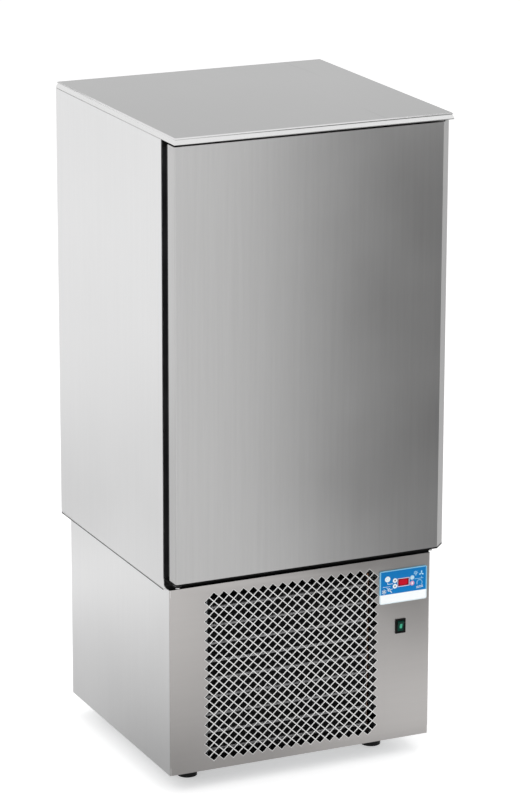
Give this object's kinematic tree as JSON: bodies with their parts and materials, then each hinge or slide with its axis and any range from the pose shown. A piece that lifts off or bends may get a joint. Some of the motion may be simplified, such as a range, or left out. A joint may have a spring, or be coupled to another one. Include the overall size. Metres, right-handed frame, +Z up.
{
  "type": "blast chiller",
  "caption": "Upright stainless blast chiller with one solid hinged door, tray runners inside and a perforated machine base with control panel.",
  "frame": {"origin": "on the floor, under the middle of the outer box", "axes": "+X to the right seen from the front, +Y to the rear, +Z up; the door faces -Y"},
  "size_m": [0.79, 0.8, 1.8],
  "materials": {
    "steel_panel": "brushed stainless sheet",
    "galvanised": "zinc-coated sheet",
    "black_plastic": "matt black moulded plastic",
    "black_rubber": "soft black extrusion",
    "foam": "rigid insulating foam",
    "fin_pack": "aluminium fins on copper tubes, bulk",
    "copper": "drawn copper tube",
    "black_paint": "black enamel",
    "motor_paint": "dark grey enamel",
    "fan_plastic": "black glass-filled plastic",
    "blue_plastic": "satin film over moulded plastic, white lower strip",
    "key_white": "white satin key",
    "key_tint": "tinted satin key",
    "window_red": "dark red display window, lit",
    "rocker_green": "translucent green, lit",
    "grey_plastic": "grey moulded plastic",
    "bush_plastic": "natural acetal"
  },
  "bodies": {
    "chassis": {"base_back": "steel_panel", "base_deck": "black_paint", "base_pan": "galvanised", "base_posts": "galvanised", "base_sides": "steel_panel", "cabinet_back": "steel_panel", "cabinet_floor": "steel_panel", "cabinet_foam": "foam", "cabinet_side_left": "steel_panel", "cabinet_side_right": "steel_panel", "chamber_fan_motors": "motor_paint", "chamber_liner": "steel_panel", "compressor": "black_paint", "compressor_mount": "galvanised", "condenser_brackets": "galvanised", "condenser_fan_motor": "motor_paint", "condenser_fins": "fin_pack", "control_bezel": "blue_plastic", "controller": "grey_plastic", "cooler_end_plates": "galvanised", "cooler_fins": "fin_pack", "copper_pipes": "copper", "display_window": "window_red", "drain_tube": "grey_plastic", "drip_tray": "galvanised", "electrical_box": "grey_plastic", "fan_arm": "galvanised", "fan_mount": "galvanised", "fan_panel": "steel_panel", "fan_shroud": "galvanised", "front_collar": "black_plastic", "front_panel": "steel_panel", "hinge_brackets": "black_paint", "lid": "steel_panel", "liquid_receiver": "black_paint", "mains_inlet": "black_plastic", "rack_posts": "steel_panel", "switch_housing": "black_plastic", "tray_runners": "steel_panel"},
    "door": {"door_shell": "steel_panel", "door_foam": "foam", "door_frame": "black_plastic", "door_liner": "steel_panel", "door_gasket": "black_rubber", "hinge_bushes": "bush_plastic"},
    "rocker": {"power_rocker": "rocker_green"},
    "key_start": {"key_start": "key_white"},
    "key_up": {"key_up": "key_white"},
    "key_down": {"key_down": "key_white"},
    "key_light": {"key_light": "key_tint"},
    "key_defrost": {"key_defrost": "key_tint"},
    "chamber_fan_lower": {"chamber_fan_lower": "fan_plastic"},
    "chamber_fan_upper": {"chamber_fan_upper": "fan_plastic"},
    "condenser_fan": {"condenser_fan": "fan_plastic"},
    "foot_front_left": {"foot_front_left": "black_plastic"},
    "foot_front_right": {"foot_front_right": "black_plastic"},
    "foot_rear_left": {"foot_rear_left": "black_plastic"},
    "foot_rear_right": {"foot_rear_right": "black_plastic"}
  },
  "joints": [
    {"name": "door_hinge", "type": "hinge", "parent": "chassis", "child": "door", "pos_m": [-0.383, -0.382, 1.197], "axis": [0, 0, -1], "range_deg": [0, 110]},
    {"name": "rocker_pivot", "type": "hinge", "parent": "chassis", "child": "rocker", "pos_m": [0.295, -0.324, 0.383], "axis": [-1, 0, 0], "range_deg": [0, 20]},
    {"name": "key_start_press", "type": "slide", "parent": "chassis", "child": "key_start", "axis": [0, 1, 0], "range_m": [0, 0.0006], "stiffness_N_per_m": 2000},
    {"name": "key_up_press", "type": "slide", "parent": "chassis", "child": "key_up", "axis": [0, 1, 0], "range_m": [0, 0.0006], "stiffness_N_per_m": 2000},
    {"name": "key_down_press", "type": "slide", "parent": "chassis", "child": "key_down", "axis": [0, 1, 0], "range_m": [0, 0.0006], "stiffness_N_per_m": 2000},
    {"name": "key_light_press", "type": "slide", "parent": "chassis", "child": "key_light", "axis": [0, 1, 0], "range_m": [0, 0.0006], "stiffness_N_per_m": 2000},
    {"name": "key_defrost_press", "type": "slide", "parent": "chassis", "child": "key_defrost", "axis": [0, 1, 0], "range_m": [0, 0.0006], "stiffness_N_per_m": 2000},
    {"name": "chamber_fan_lower_spin", "type": "hinge", "parent": "chassis", "child": "chamber_fan_lower", "pos_m": [0, 0.185, 0.946], "axis": [0, 1, 0], "continuous": true},
    {"name": "chamber_fan_upper_spin", "type": "hinge", "parent": "chassis", "child": "chamber_fan_upper", "pos_m": [0, 0.185, 1.426], "axis": [0, 1, 0], "continuous": true},
    {"name": "condenser_fan_spin", "type": "hinge", "parent": "chassis", "child": "condenser_fan", "pos_m": [-0.0277, -0.215, 0.303], "axis": [0, 1, 0], "continuous": true},
    {"name": "foot_front_left_level", "type": "slide", "parent": "chassis", "child": "foot_front_left", "axis": [0, 0, -1], "range_m": [0, 0.02]},
    {"name": "foot_front_right_level", "type": "slide", "parent": "chassis", "child": "foot_front_right", "axis": [0, 0, -1], "range_m": [0, 0.02]},
    {"name": "foot_rear_left_level", "type": "slide", "parent": "chassis", "child": "foot_rear_left", "axis": [0, 0, -1], "range_m": [0, 0.02]},
    {"name": "foot_rear_right_level", "type": "slide", "parent": "chassis", "child": "foot_rear_right", "axis": [0, 0, -1], "range_m": [0, 0.02]}
  ]
}
